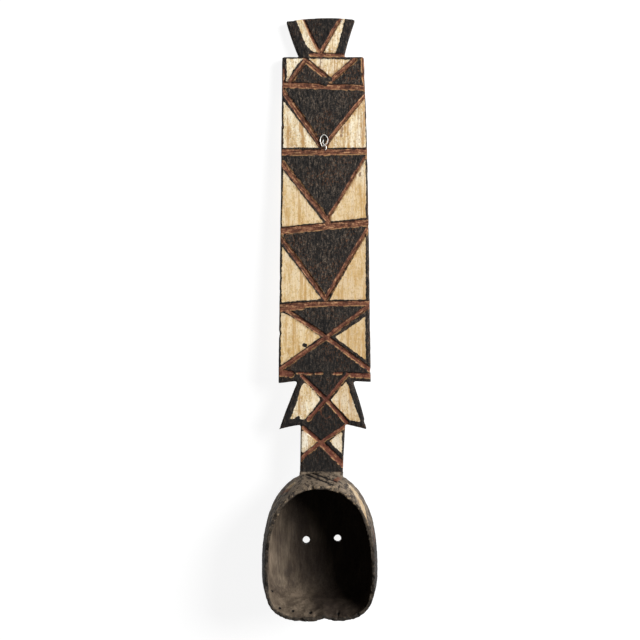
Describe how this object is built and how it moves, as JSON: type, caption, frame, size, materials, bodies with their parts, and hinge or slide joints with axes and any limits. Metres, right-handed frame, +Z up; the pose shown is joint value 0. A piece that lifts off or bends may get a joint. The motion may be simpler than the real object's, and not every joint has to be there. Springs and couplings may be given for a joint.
{
  "type": "bwa plank mask",
  "caption": "Hollow carved wooden face mask under a tall flat plank with a flared collar and crest, painted in black and white triangles, with a wire loop to hang it by.",
  "frame": {"origin": "middle of the footprint, on the floor that the mask lies on, face down", "axes": "+Z up, out of the hollow; +Y from the chin to the crest; +X to the right as the hollow is looked into"},
  "size_m": [0.251, 1.2936, 0.1597],
  "materials": {
    "painted_wood": "matte, black and white pigment over worn dark wood",
    "wire_steel": "dull galvanised",
    "nail_iron": "dark and lightly rusted"
  },
  "bodies": {
    "root": {"mask": "painted_wood", "hanging_wire": "wire_steel", "hanging_nail": "nail_iron"}
  },
  "joints": []
}
